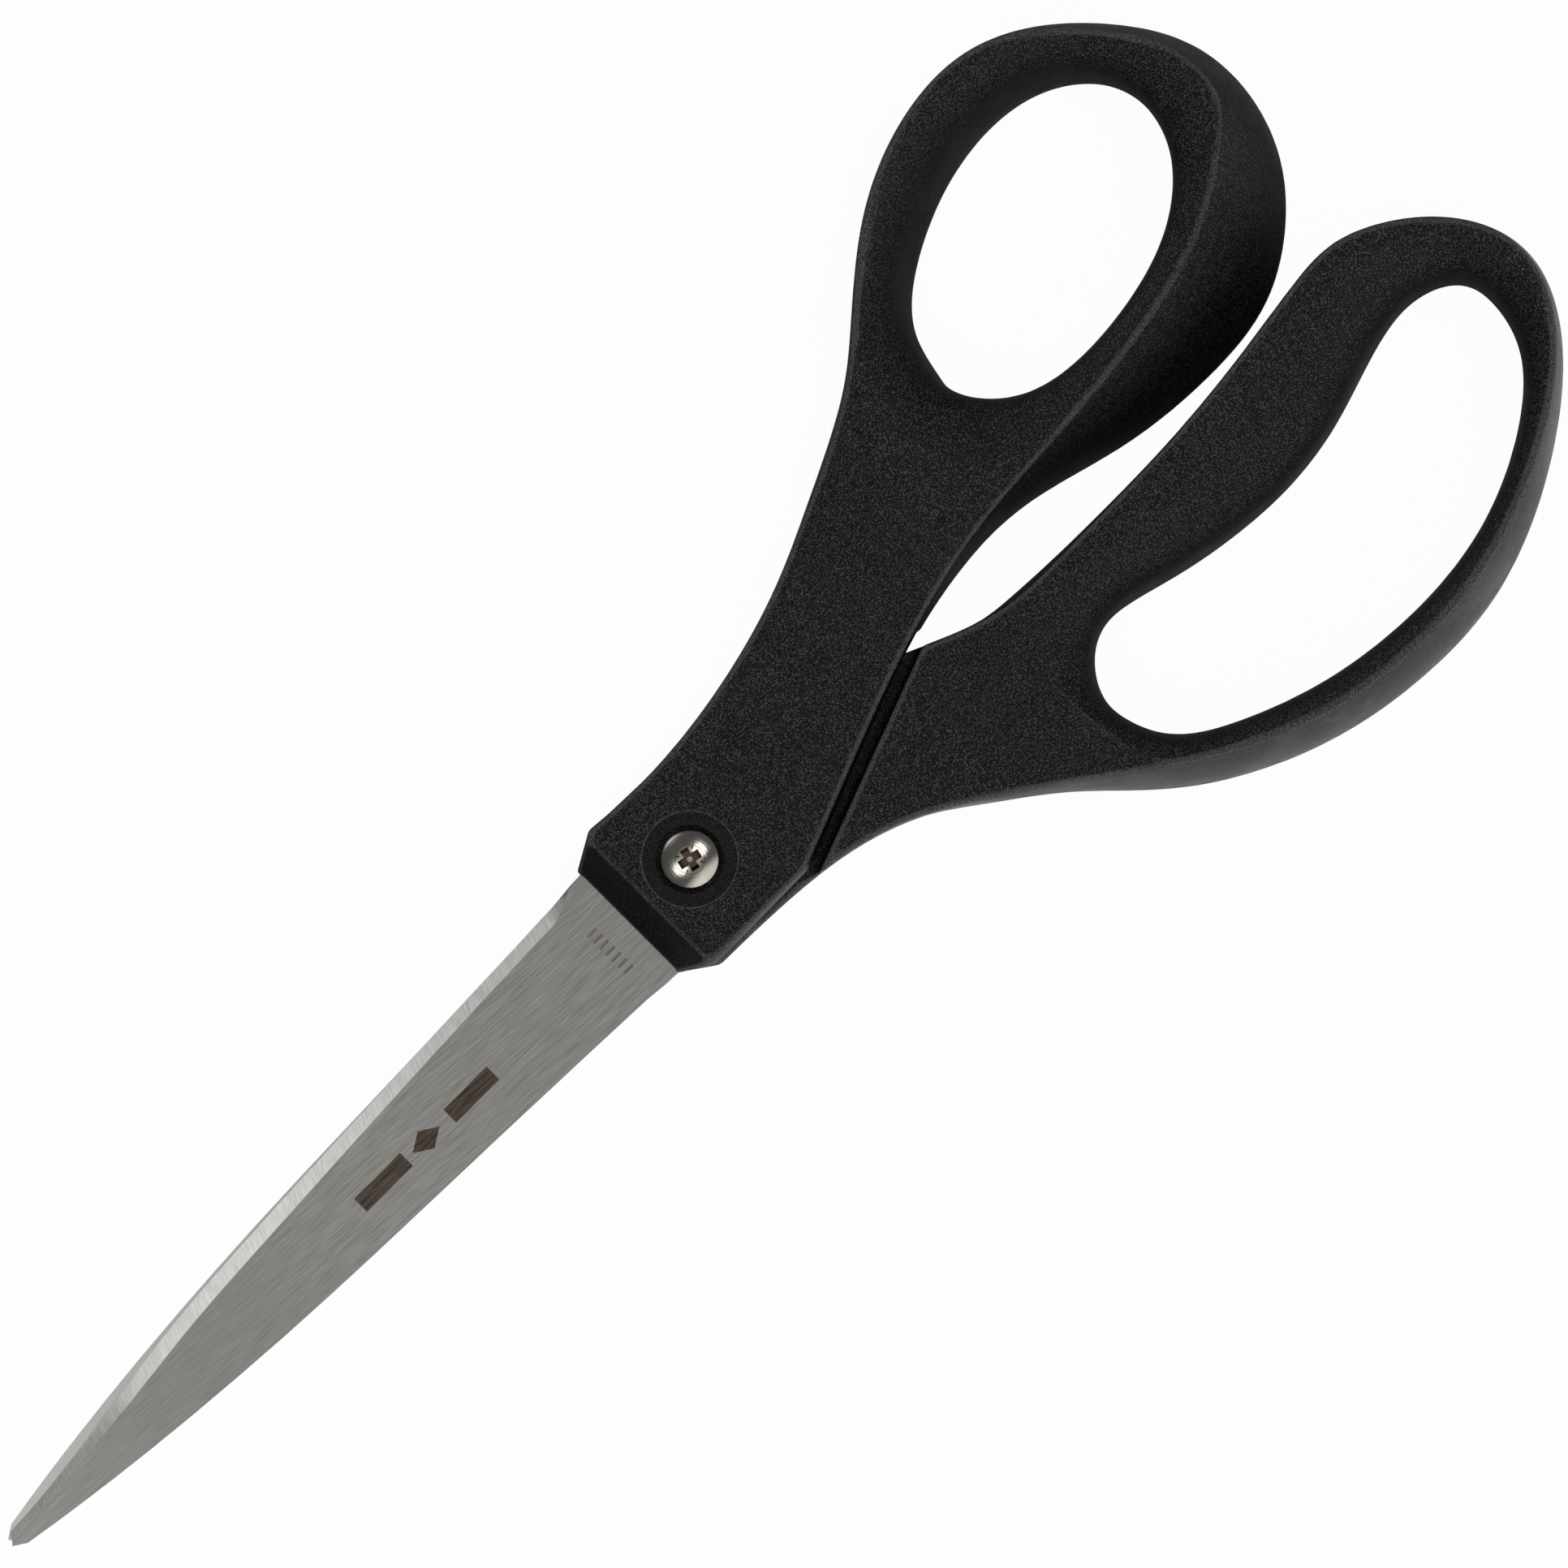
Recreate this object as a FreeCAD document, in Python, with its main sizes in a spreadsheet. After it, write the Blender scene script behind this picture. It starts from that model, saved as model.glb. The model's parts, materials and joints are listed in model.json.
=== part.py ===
import FreeCAD, Part
import math
import os
import Sketcher
from FreeCAD import Vector

# Office scissors lying closed on their back. The pivot axis is Z, the table plane is z = 0, +X runs
# from the pivot to the finger loops and +Y is the side of the thumb loop. All sizes are millimetres.
doc = FreeCAD.newDocument("office_scissors")

# Driving dimensions -----------------------------------------------------------------------------
driving_sizes = [
    ("blade_thickness", 1.6, "steel strip that each blade is stamped from"),
    ("edge_land", 0.12, "flat left at the foot of the ground bevel"),
    ("blade_gap", 0.1, "between the two blades' inner faces"),
    ("lap_gap", 0.3, "between the two handles where they cross"),
    ("cover", 3.55, "plastic over the outer face of each tang"),
    ("loop_rise", 2.0, "how much thicker the loops are than the crossing"),
    ("blade_set", 0.6, "sideways set of the lower blade, so that closed edges are covered"),
    ("bottom_round", 1.2, "rounding of the handles' lower outer edges"),
    ("top_round", 0.4, "rounding of the handles' upper outer edges"),
    ("barrel_radius", 2.5, "barrel of the pivot nut"),
    ("barrel_clearance", 0.06, "running fit of the thumb half on the barrel"),
    ("thread_radius", 1.5, "screw shank and the nut's thread"),
    ("flange_radius", 4.0, "flange of the pivot nut"),
    ("flange_thickness", 1.2, "flange of the pivot nut"),
    ("flange_depth", 0.25, "how far the flange lies inside the back of the handle"),
    ("driver_slot", 1.2, "width of the slot across the nut's flange"),
    ("driver_slot_depth", 0.6, "depth of that slot"),
    ("head_radius", 3.0, "screw head"),
    ("head_rim", 0.6, "straight rim of the screw head"),
    ("head_dome", 0.8, "height of the dome above the rim"),
    ("cross_width", 1.0, "arm width of the cross recess"),
    ("cross_span", 2.6, "arm to arm length of the cross recess"),
    ("cross_depth", 1.1, "depth of the cross recess"),
    ("well_radius", 3.6, "counterbore round the screw head"),
    ("well_depth", 1.8, "depth of that counterbore"),
    ("ring_radius", 4.95, "outer edge of the smooth ring round the counterbore"),
    ("ring_step", 0.12, "depth of that ring below the handle's face"),
    ("washer_radius", 2.9, "spring washer"),
    ("washer_thickness", 0.5, "spring washer"),
    ("washer_gap", 0.1, "between the washer and the thumb handle, which turns under it"),
    ("screw_foot", 0.9, "height of the screw's end over the table"),
]
sizes = doc.addObject("Spreadsheet::Sheet", "sizes")
for row, (alias, value, meaning) in enumerate(driving_sizes, start=1):
    sizes.set(f"A{row}", alias)
    sizes.set(f"B{row}", str(value))
    sizes.set(f"C{row}", meaning)
    sizes.setAlias(f"B{row}", alias)
doc.recompute()

PARTING = "(sizes.cover + sizes.blade_thickness + sizes.blade_gap / 2)"
ARM_TOP = f"(2 * {PARTING})"
LOOP_TOP = f"({ARM_TOP} + sizes.loop_rise)"
WELL_FLOOR = f"({ARM_TOP} - sizes.well_depth)"
BARREL_TOP = f"({WELL_FLOOR} + sizes.washer_gap)"
RECESS_FLOOR = (
    f"{BARREL_TOP} + sizes.washer_thickness + sizes.head_rim + sizes.head_dome - sizes.cross_depth"
)
parting = sizes.cover + sizes.blade_thickness + sizes.blade_gap / 2
arm_top = 2 * parting
loop_top = arm_top + sizes.loop_rise


# Helpers ----------------------------------------------------------------------------------------
def origin_plane(body, role):
    return next(item for item in body.Origin.OriginFeatures if item.Role == role)


def sketch_on(body, name, role, height=None):
    sketch = body.newObject("Sketcher::SketchObject", name)
    sketch.AttachmentSupport = (origin_plane(body, role), [""])
    sketch.MapMode = "FlatFace"
    if height:
        sketch.setExpression("AttachmentOffset.Base.z", height)
    return sketch


def spline(points, closed=False):
    curve = Part.BSplineCurve()
    count = len(points) + (1 if closed else 0)
    curve.interpolate(
        Points=[Vector(x, y, 0) for x, y in points],
        PeriodicFlag=closed,
        Parameters=[step / (count - 1) for step in range(count)],
    )
    return curve


def straight(points):
    vectors = [Vector(x, y, 0) for x, y in points]
    return [Part.LineSegment(start, end) for start, end in zip(vectors, vectors[1:])]


def blend(first, second, share):
    return [(a[0] + (b[0] - a[0]) * share, a[1] + (b[1] - a[1]) * share) for a, b in zip(first, second)]


def add_circle(sketch, radius, centre_y="0"):
    index = sketch.addGeometry(Part.Circle(Vector(0, 0, 0), Vector(0, 0, 1), 1))
    sketch.addConstraint(Sketcher.Constraint("DistanceX", -1, 1, index, 3, 0))
    sketch.addConstraint(Sketcher.Constraint("DistanceY", -1, 1, index, 3, 0))
    size = sketch.addConstraint(Sketcher.Constraint("Radius", index, 1))
    sketch.setExpression(f"Constraints[{size - 1}]", centre_y)
    sketch.setExpression(f"Constraints[{size}]", radius)


def pocket(body, name, sketch, towards="below", depth=None):
    """Cut a sketch's outline out of the body: below it, above it or to both sides of it."""
    feature = body.newObject("PartDesign::Pocket", name)
    feature.Profile = sketch
    feature.Reversed = towards == "above"
    feature.Midplane = towards == "both"
    if depth:
        feature.setExpression("Length", depth)
    else:
        feature.Type = "ThroughAll"
    return feature


def round_pocket(body, name, radius, height, towards):
    """Cut a round hole on the pivot axis, from this height below, above or to both sides."""
    sketch = sketch_on(body, name + "_circle", "XY_Plane", height)
    add_circle(sketch, radius)
    return pocket(body, name, sketch, towards)


# Blades -----------------------------------------------------------------------------------------
# One stamping serves both halves. It is drawn as the upper blade, inner face on z = 0, with its
# spine on -Y and its cutting edge on +Y; the lower blade is the same plate turned over.
TIP = (-101.0, -0.7)
SPINE = [(-9.5, -7.4), (-40, -6.3), (-60, -5.6), (-80, -4.15), (-99.6, -1.6)]
CUTTING_EDGE = [(-100.3, 0.5), (-90, 1.4), (-80, 2.9), (-70, 4.1), (-55, 5.0), (-35, 5.85), (-15, 6.55)]
BEVEL_LINE = [(-100.6, -0.5), (-90, 0.45), (-80, 1.4), (-70, 2.5), (-55, 3.4), (-35, 4.45), (-15, 5.2)]
RUN_OUT_EDGE = [(-15, 6.55), (-13, 6.7), (-11, 6.9)]
RUN_OUT_BEVEL = [(-15, 5.2), (-13.2, 5.75), (-11, 6.9)]
HEEL = (-9.5, 6.95)
TANG = [(4, 6.9), (16, 4.0), (22.5, 1.8), (24.4, -0.4), (23, -2.6), (16, -4.8), (5, -7.0)]


def blade_edges(edge, run_out):
    edges = [spline(SPINE)] + straight([SPINE[-1], TIP, edge[0]]) + [spline(edge), spline(run_out)]
    return edges + straight([run_out[-1], HEEL] + TANG + [SPINE[0]])


def make_blade(name, hole_y):
    body = doc.addObject("PartDesign::Body", name)
    inner_face = sketch_on(body, name + "_inner_face", "XY_Plane")
    inner_face.addGeometry(blade_edges(CUTTING_EDGE, RUN_OUT_EDGE))
    land = body.newObject("PartDesign::Pad", name + "_land")
    land.Profile = inner_face
    land.setExpression("Length", "sizes.edge_land")

    bevel_foot = sketch_on(body, name + "_bevel_foot", "XY_Plane", "sizes.edge_land")
    bevel_foot.addGeometry(blade_edges(CUTTING_EDGE, RUN_OUT_EDGE))
    outer_face = sketch_on(body, name + "_outer_face", "XY_Plane", "sizes.blade_thickness")
    outer_face.addGeometry(blade_edges(BEVEL_LINE, RUN_OUT_BEVEL))
    grind = body.newObject("PartDesign::AdditiveLoft", name + "_grind")
    grind.Profile = bevel_foot
    grind.Sections = [outer_face]
    grind.Ruled = True

    hole_sketch = sketch_on(body, name + "_hole_circle", "XY_Plane")
    add_circle(hole_sketch, "sizes.barrel_radius + sizes.barrel_clearance", hole_y)
    body.Tip = pocket(body, name + "_hole", hole_sketch, "both")
    return body


thumb_blade = make_blade("thumb_blade", "0")
thumb_blade.setExpression("Placement.Base.z", f"{PARTING} + sizes.blade_gap / 2")

finger_blade = make_blade("finger_blade", "-sizes.blade_set")
finger_blade.Placement.Rotation = FreeCAD.Rotation(Vector(1, 0, 0), 180)
finger_blade.setExpression("Placement.Base.y", "-sizes.blade_set")
finger_blade.setExpression("Placement.Base.z", f"{PARTING} - sizes.blade_gap / 2")


# Handles ----------------------------------------------------------------------------------------
# Each handle is a leaning ring on a flat arm. Its outer wall is lofted from a foot outline on the
# table to a top outline, its hole is a throat that opens out to a dish at both faces, and where
# the arms cross each handle keeps only its own side of the parting plane.
WALL_SHARE = 0.8
WALL_BULGE = 0.55

THUMB_TOP = [
    (-5.3, 9.6), (5, 9.3), (15, 10.6), (25, 13.4), (35, 17.2), (45, 22.5), (51.7, 27.8), (59.7, 34.3),
    (68.8, 38.5), (78, 39.4), (85.8, 36.3), (91.5, 30.5), (94.9, 24.8), (95.4, 18.8), (92.4, 14.3),
    (85, 9.4), (75, 6.2), (62, 4.5), (50, 3.7), (40, 2.0), (30, -0.8), (20, -4.4), (8, -9.1),
]
THUMB_FOOT = [
    (-5.3, 9.6), (5, 9.3), (15, 10.5), (25, 12.8), (35, 15.9), (45, 20.4), (51.7, 24.8), (59.7, 30.7),
    (68.8, 35.1), (79, 36.2), (88, 33.5), (94.8, 27.7), (98.5, 19.8), (97.5, 11.0), (92.9, 3.4),
    (84.9, -2.3), (75, -3.6), (63.4, -2.0), (52, 1.3), (42, 1.3), (31.5, -0.9), (20, -5.3),
    (8, -10.0),
]
THUMB_NOSE_TOP = [(8, -9.1), (-5.7, -9.3), (-9.5, -7.3), (-9.5, 7.3), (-5.3, 9.6)]
THUMB_NOSE_FOOT = [(8, -10.0), (-5.9, -10.1), (-9.5, -7.6), (-9.5, 7.3), (-5.3, 9.6)]
THUMB_THROAT = [
    (54, 17.5), (55.2, 13.0), (59.9, 9.0), (67, 7.5), (75.1, 8.3), (82.1, 10.9), (87.4, 15.7),
    (89.4, 21.8), (87.7, 27.6), (82.7, 31.7), (76, 33.1), (68.2, 31.9), (60.5, 28.3), (55.6, 23.3),
]
THUMB_DISH = [
    (47.8, 16.5), (48.6, 10.8), (54, 6.0), (65, 5.5), (76, 7.2), (84.5, 10.1), (91.3, 14.8),
    (94, 21.5), (91.5, 29.3), (85.7, 34.8), (77.3, 37.8), (66.8, 36.3), (57.2, 31.0), (50.3, 24.6),
]
FINGER_TOP = [
    (-5.6, -10.1), (5, -10.3), (13, -11.4), (20, -13.7), (27, -17.2), (34, -21.8), (41, -27.4),
    (49, -32.5), (58, -36.2), (68, -37.8), (78, -37.4), (88, -34.5), (96.9, -29.8), (103, -24.4),
    (106, -18.5), (105.4, -12.5), (101.1, -6.6), (94.1, -2.4), (87, -2.1), (77, -3.5), (65, -4.6),
    (53, -4.9), (44, -4.9), (38, -3.5), (31.5, -0.8), (20, 4.0), (8, 9.1),
]
FINGER_FOOT = [
    (-5.6, -10.1), (5, -10.5), (13, -11.6), (20, -14.0), (27, -17.8), (34, -23.6), (41, -30.5),
    (49, -35.8), (58, -39.3), (68, -41.0), (79, -40.5), (89.7, -36.5), (98, -30.7), (102.8, -25.2),
    (105.3, -19.5), (104.6, -13.9), (100.4, -8.4), (94, -5.1), (87, -5.0), (77, -6.5), (65, -7.2),
    (53, -6.7), (44, -5.7), (38, -3.7), (31.5, -0.8), (20, 4.0), (8, 9.1),
]
FINGER_NOSE = [(8, 9.1), (-5.3, 9.5), (-9.5, 7.2), (-9.5, -7.4), (-5.6, -10.1)]
FINGER_THROAT = [
    (42.4, -20.3), (44.1, -15.8), (49.2, -13.1), (57.1, -14.6), (64.1, -16.0), (71.5, -16.5), (79, -15.6),
    (86, -13.5), (93.5, -12.0), (99.2, -14), (100.6, -18.5), (98.5, -24.6), (92, -30.2), (83, -34.1),
    (72.5, -35.4), (61, -34.1), (51, -30.6), (44.6, -26.1),
]
FINGER_DISH = [
    (39.4, -19), (40.3, -12), (46, -7.5), (57, -8.5), (64, -9.3), (71.5, -9.5), (79, -8.7),
    (86, -7.0), (94.5, -5.8), (101.5, -9.1), (104.3, -17), (101.6, -25), (93.9, -30.9), (84, -35.3),
    (72.5, -37.1), (60.5, -36.0), (49.5, -32.0), (41.3, -26.4),
]
# Each handle's shoulder runs close beside the edge of the other one's arm.
THUMB_SHOULDER = [(-20, 21.2), (38, -1.7)]
FINGER_SHOULDER = [(-20, -21.2), (38, 0.5)]
CLEAR_WIDTH = 30

# Heights of the hole's sections: -1 is the table, 0 the throat and 1 the loop's top.
HOLE_LEVELS = (-1.12, -0.85, -0.5, 0, 0.5, 0.85, 1.12)

RAMP_START = 27
RAMP_END = 45
NOSE_CREASE = -6.1
BLADE_BORDER = -9.5
BEYOND_NOSE = -12


def bulged(points, outwards):
    """The outline with all but its end points moved to the left of its run, square to it."""
    moved = list(points)
    for index in range(4, len(points) - 4):
        along = Vector(*points[index + 1], 0) - Vector(*points[index - 1], 0)
        along.normalize()
        x, y = points[index]
        moved[index] = (x - along.y * outwards, y + along.x * outwards)
    return moved


def handle_outline(body, name, height, side, nose):
    sketch = sketch_on(body, name, "XY_Plane", height)
    sketch.addGeometry([spline(side)] + straight(nose))
    return sketch


def loft_hole(body, name, throat, dish, lean, mouth):
    """Cut the finger hole: section by section from below the table to above the loop's top."""
    centre_x = sum(x for x, y in throat) / len(throat)
    centre_y = sum(y for x, y in throat) / len(throat)
    sections = []
    for number, level in enumerate(HOLE_LEVELS):
        opening = 0.35 * level**2 + 0.65 * level**4
        leaning = [(x + lean[0] * level, y + lean[1] * level) for x, y in throat]
        if level > 0:
            rim = dish
        else:
            rim = [
                (centre_x + (x - centre_x) * mouth - lean[0], centre_y + (y - centre_y) * mouth - lean[1])
                for x, y in throat
            ]
        sketch = sketch_on(body, f"{name}_section_{number}", "XY_Plane", f"{LOOP_TOP} * {(1 + level) / 2}")
        sketch.addGeometry(spline(blend(leaning, rim, opening), closed=True))
        sections.append(sketch)
    hole = body.newObject("PartDesign::SubtractiveLoft", name)
    hole.Profile = sections[0]
    hole.Sections = sections[1:]
    return hole


def cut_ramp(body, name):
    """The arm's top lies lower than the loop's and rises to it in a gentle S."""
    sketch = sketch_on(body, name + "_profile", "XZ_Plane")
    rise = Part.BSplineCurve()
    middle = (RAMP_START + RAMP_END) / 2
    rise.buildFromPoles([
        Vector(RAMP_START, arm_top, 0), Vector(middle, arm_top, 0),
        Vector(middle, loop_top, 0), Vector(RAMP_END, loop_top, 0),
    ])
    above = loop_top + 5
    block = [
        (RAMP_END, loop_top), (RAMP_END, above), (BEYOND_NOSE, above), (BEYOND_NOSE, arm_top),
        (RAMP_START, arm_top),
    ]
    sketch.addGeometry([rise] + straight(block))
    return pocket(body, name, sketch, "both")


def cut_nose(body, name, face, blade_face, direction):
    """The sloping front of the handle, from its crease down to the blade."""
    sketch = sketch_on(body, name + "_profile", "XZ_Plane")
    beyond = face + direction
    sketch.addGeometry(straight([
        (NOSE_CREASE, face), (BLADE_BORDER, blade_face), (BEYOND_NOSE, blade_face),
        (BEYOND_NOSE, beyond), (NOSE_CREASE, beyond), (NOSE_CREASE, face),
    ]))
    return pocket(body, name, sketch, "both")


def cut_lap(body, name, height, towards, shoulder_start, shoulder_end):
    """Clear the other handle's side of the parting plane, as far as the shoulder."""
    far_y = shoulder_end[1] - math.copysign(CLEAR_WIDTH, shoulder_start[1])
    sketch = sketch_on(body, name + "_outline", "XY_Plane", height)
    corners = [shoulder_start, shoulder_end, (shoulder_end[0], far_y), (shoulder_start[0], far_y)]
    sketch.addGeometry(straight(corners + corners[:1]))
    return pocket(body, name, sketch, towards)


def seat_tang(body, name, height, turned_over):
    """The pocket that holds the blade's tang, open at the nose."""
    sketch = sketch_on(body, name + "_outline", "XY_Plane", height)
    front = [(BEYOND_NOSE, SPINE[0][1]), (BEYOND_NOSE, HEEL[1])]
    seat = front + [HEEL] + TANG + [SPINE[0]] + front[:1]
    if turned_over:
        seat = [(x, -sizes.blade_set - y) for x, y in seat]
    sketch.addGeometry(straight(seat))
    return pocket(body, name, sketch, "above", "sizes.blade_thickness")


def round_outline(body, name, level, radius):
    """Round the handle's longest edge at this level, and the edges that run on from it."""
    doc.recompute()
    edges = body.Shape.Edges
    level_edges = [number for number, edge in enumerate(edges) if abs(edge.BoundBox.ZMax - level) < 0.05]
    longest = max(level_edges, key=lambda number: edges[number].BoundBox.DiagonalLength)
    base = body.Tip
    rounding = body.newObject("PartDesign::Fillet", name)
    rounding.Base = (base, [f"Edge{longest + 1}"])
    rounding.setExpression("Radius", radius)
    body.Tip = rounding
    return rounding


def make_handle(name, foot, top, nose_foot, nose_top, bulge):
    body = doc.addObject("PartDesign::Body", name)
    low = handle_outline(body, name + "_foot", None, foot, nose_foot)
    wall_height = f"{LOOP_TOP} * {WALL_SHARE}"
    wall = bulged(blend(foot, top, WALL_SHARE), bulge)
    middle = handle_outline(body, name + "_wall", wall_height, wall, blend(nose_foot, nose_top, WALL_SHARE))
    high = handle_outline(body, name + "_top", LOOP_TOP, top, nose_top)
    shell = body.newObject("PartDesign::AdditiveLoft", name + "_shell")
    shell.Profile = low
    shell.Sections = [middle, high]
    return body


thumb_handle = make_handle(
    "thumb_handle", THUMB_FOOT, THUMB_TOP, THUMB_NOSE_FOOT, THUMB_NOSE_TOP, WALL_BULGE)
loft_hole(thumb_handle, "thumb_hole", THUMB_THROAT, THUMB_DISH, lean=(-0.6, 2.2), mouth=1.13)
cut_ramp(thumb_handle, "thumb_ramp")
cut_nose(thumb_handle, "thumb_nose", arm_top, arm_top - sizes.cover, 2)
cut_lap(thumb_handle, "thumb_lap", f"{PARTING} + sizes.lap_gap / 2", "below", *THUMB_SHOULDER)
seat_tang(thumb_handle, "thumb_tang_seat", f"{PARTING} + sizes.blade_gap / 2", turned_over=False)
round_pocket(thumb_handle, "screw_ring", "sizes.ring_radius", f"{ARM_TOP} - sizes.ring_step", "above")
round_pocket(thumb_handle, "screw_well", "sizes.well_radius", WELL_FLOOR, "above")
bearing = "sizes.barrel_radius + sizes.barrel_clearance"
thumb_handle.Tip = round_pocket(thumb_handle, "barrel_bore", bearing, "0", "both")
round_outline(thumb_handle, "thumb_top_round", loop_top, "sizes.top_round")
round_outline(thumb_handle, "thumb_bottom_round", 0, "sizes.bottom_round")

finger_handle = make_handle(
    "finger_handle", FINGER_FOOT, FINGER_TOP, FINGER_NOSE, FINGER_NOSE, -WALL_BULGE)
loft_hole(finger_handle, "finger_hole", FINGER_THROAT, FINGER_DISH, lean=(0, 0.8), mouth=1.12)
cut_ramp(finger_handle, "finger_ramp")
cut_nose(finger_handle, "finger_nose", 0, sizes.cover, -2)
cut_lap(finger_handle, "finger_lap", f"{PARTING} - sizes.lap_gap / 2", "above", *FINGER_SHOULDER)
seat_tang(finger_handle, "finger_tang_seat", "sizes.cover", turned_over=True)
flange_top = "sizes.flange_depth + sizes.flange_thickness"
round_pocket(finger_handle, "flange_seat", "sizes.flange_radius", flange_top, "below")
finger_handle.Tip = round_pocket(finger_handle, "barrel_seat", "sizes.barrel_radius", "0", "both")
round_outline(finger_handle, "finger_top_round", loop_top, "sizes.top_round")
round_outline(finger_handle, "finger_bottom_round", 0, "sizes.bottom_round")


# Pivot ------------------------------------------------------------------------------------------
# The nut is pressed into the lower handle from the back, its barrel is the bearing of the thumb
# half, and the screw holds the tension washer down on the barrel's end.
barrel_top = arm_top - sizes.well_depth + sizes.washer_gap
head_foot = barrel_top + sizes.washer_thickness
rim_top = head_foot + sizes.head_rim
dome_top = rim_top + sizes.head_dome
screw_foot = sizes.screw_foot


def turned(name, outline):
    """A body turned on the pivot axis from its half section."""
    body = doc.addObject("PartDesign::Body", name)
    sketch = sketch_on(body, name + "_half_section", "XZ_Plane")
    sketch.addGeometry(outline)
    turning = body.newObject("PartDesign::Revolution", name + "_turning")
    turning.Profile = sketch
    turning.ReferenceAxis = (origin_plane(body, "Z_Axis"), [""])
    return body


pivot_screw = turned("pivot_screw", straight([
    (0, dome_top), (0, screw_foot), (sizes.thread_radius, screw_foot), (sizes.thread_radius, head_foot),
    (sizes.head_radius, head_foot), (sizes.head_radius, rim_top),
]) + [Part.Arc(
    Vector(sizes.head_radius, rim_top, 0),
    Vector(sizes.head_radius * 0.62, rim_top + sizes.head_dome * 0.72, 0),
    Vector(0, dome_top, 0),
)])
arms = ((sizes.cross_width / 2, sizes.cross_span / 2), (sizes.cross_span / 2, sizes.cross_width / 2))
for number, (x, y) in enumerate(arms):
    arm = sketch_on(pivot_screw, f"cross_arm_{number}", "XY_Plane", RECESS_FLOOR)
    arm.addGeometry(straight([(x, y), (-x, y), (-x, -y), (x, -y), (x, y)]))
    pivot_screw.Tip = pocket(pivot_screw, f"cross_cut_{number}", arm, "above")

pivot_nut = turned("pivot_nut", straight([
    (sizes.thread_radius, sizes.flange_depth), (sizes.flange_radius, sizes.flange_depth),
    (sizes.flange_radius, sizes.flange_depth + sizes.flange_thickness),
    (sizes.barrel_radius, sizes.flange_depth + sizes.flange_thickness),
    (sizes.barrel_radius, barrel_top), (sizes.thread_radius, barrel_top),
    (sizes.thread_radius, sizes.flange_depth),
]))
slot_floor = "sizes.flange_depth + sizes.driver_slot_depth"
slot = sketch_on(pivot_nut, "driver_slot_outline", "XY_Plane", slot_floor)
x = sizes.flange_radius + 1
y = sizes.driver_slot / 2
slot.addGeometry(straight([(x, y), (-x, y), (-x, -y), (x, -y), (x, y)]))
pivot_nut.Tip = pocket(pivot_nut, "driver_slot_cut", slot, "below")

spring_washer = turned("spring_washer", straight([
    (sizes.thread_radius, 0), (sizes.washer_radius, 0), (sizes.washer_radius, sizes.washer_thickness),
    (sizes.thread_radius, sizes.washer_thickness), (sizes.thread_radius, 0),
]))
spring_washer.setExpression("Placement.Base.z", BARREL_TOP)


# Check and export -------------------------------------------------------------------------------
doc.recompute()
pieces = [item for item in doc.Objects if item.isDerivedFrom("PartDesign::Body")]
for item in doc.Objects:
    if "Invalid" in item.State or "Error" in item.State:
        raise RuntimeError(f"{item.Name} did not recompute: {item.State}")
for piece in pieces:
    if piece.Shape.isNull() or not piece.Shape.isValid():
        raise RuntimeError(f"{piece.Label} has no valid shape")

os.makedirs("parts", exist_ok=True)
for piece in pieces:
    piece.Shape.exportStep(f"parts/{piece.Label}.step")
    print(piece.Label, round(piece.Shape.Volume, 1), "mm3")
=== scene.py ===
import bpy
import json
import math
import numpy
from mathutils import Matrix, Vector

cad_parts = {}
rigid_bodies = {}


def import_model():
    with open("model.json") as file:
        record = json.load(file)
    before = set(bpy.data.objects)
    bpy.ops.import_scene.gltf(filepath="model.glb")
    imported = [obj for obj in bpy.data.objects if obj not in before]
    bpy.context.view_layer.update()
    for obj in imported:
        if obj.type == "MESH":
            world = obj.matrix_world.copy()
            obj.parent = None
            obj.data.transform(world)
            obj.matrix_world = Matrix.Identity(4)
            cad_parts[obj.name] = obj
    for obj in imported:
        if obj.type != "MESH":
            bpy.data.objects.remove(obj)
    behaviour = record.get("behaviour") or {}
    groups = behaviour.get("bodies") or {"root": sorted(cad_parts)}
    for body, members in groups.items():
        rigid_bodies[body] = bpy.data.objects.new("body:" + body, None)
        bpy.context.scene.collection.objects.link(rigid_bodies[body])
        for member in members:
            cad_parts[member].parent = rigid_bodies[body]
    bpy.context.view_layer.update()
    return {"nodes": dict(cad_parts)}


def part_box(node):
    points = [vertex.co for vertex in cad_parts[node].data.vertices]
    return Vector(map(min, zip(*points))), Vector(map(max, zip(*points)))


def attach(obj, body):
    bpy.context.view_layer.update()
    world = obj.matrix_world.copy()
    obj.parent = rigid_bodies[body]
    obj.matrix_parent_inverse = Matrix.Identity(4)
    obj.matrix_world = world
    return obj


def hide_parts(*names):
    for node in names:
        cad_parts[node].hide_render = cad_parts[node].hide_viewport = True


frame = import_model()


# Blades -----------------------------------------------------------------------------------------
# Two stampings of one shape from 1.6 mm stainless strip, the lower one turned over. The outer flats
# are belt-brushed lengthwise, the inner ones and the cutting bevel are ground bright, and a laser
# burns a brown mark into the upper flat.
MM = 0.001
SAME_POINT = 0.001 * MM


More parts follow.
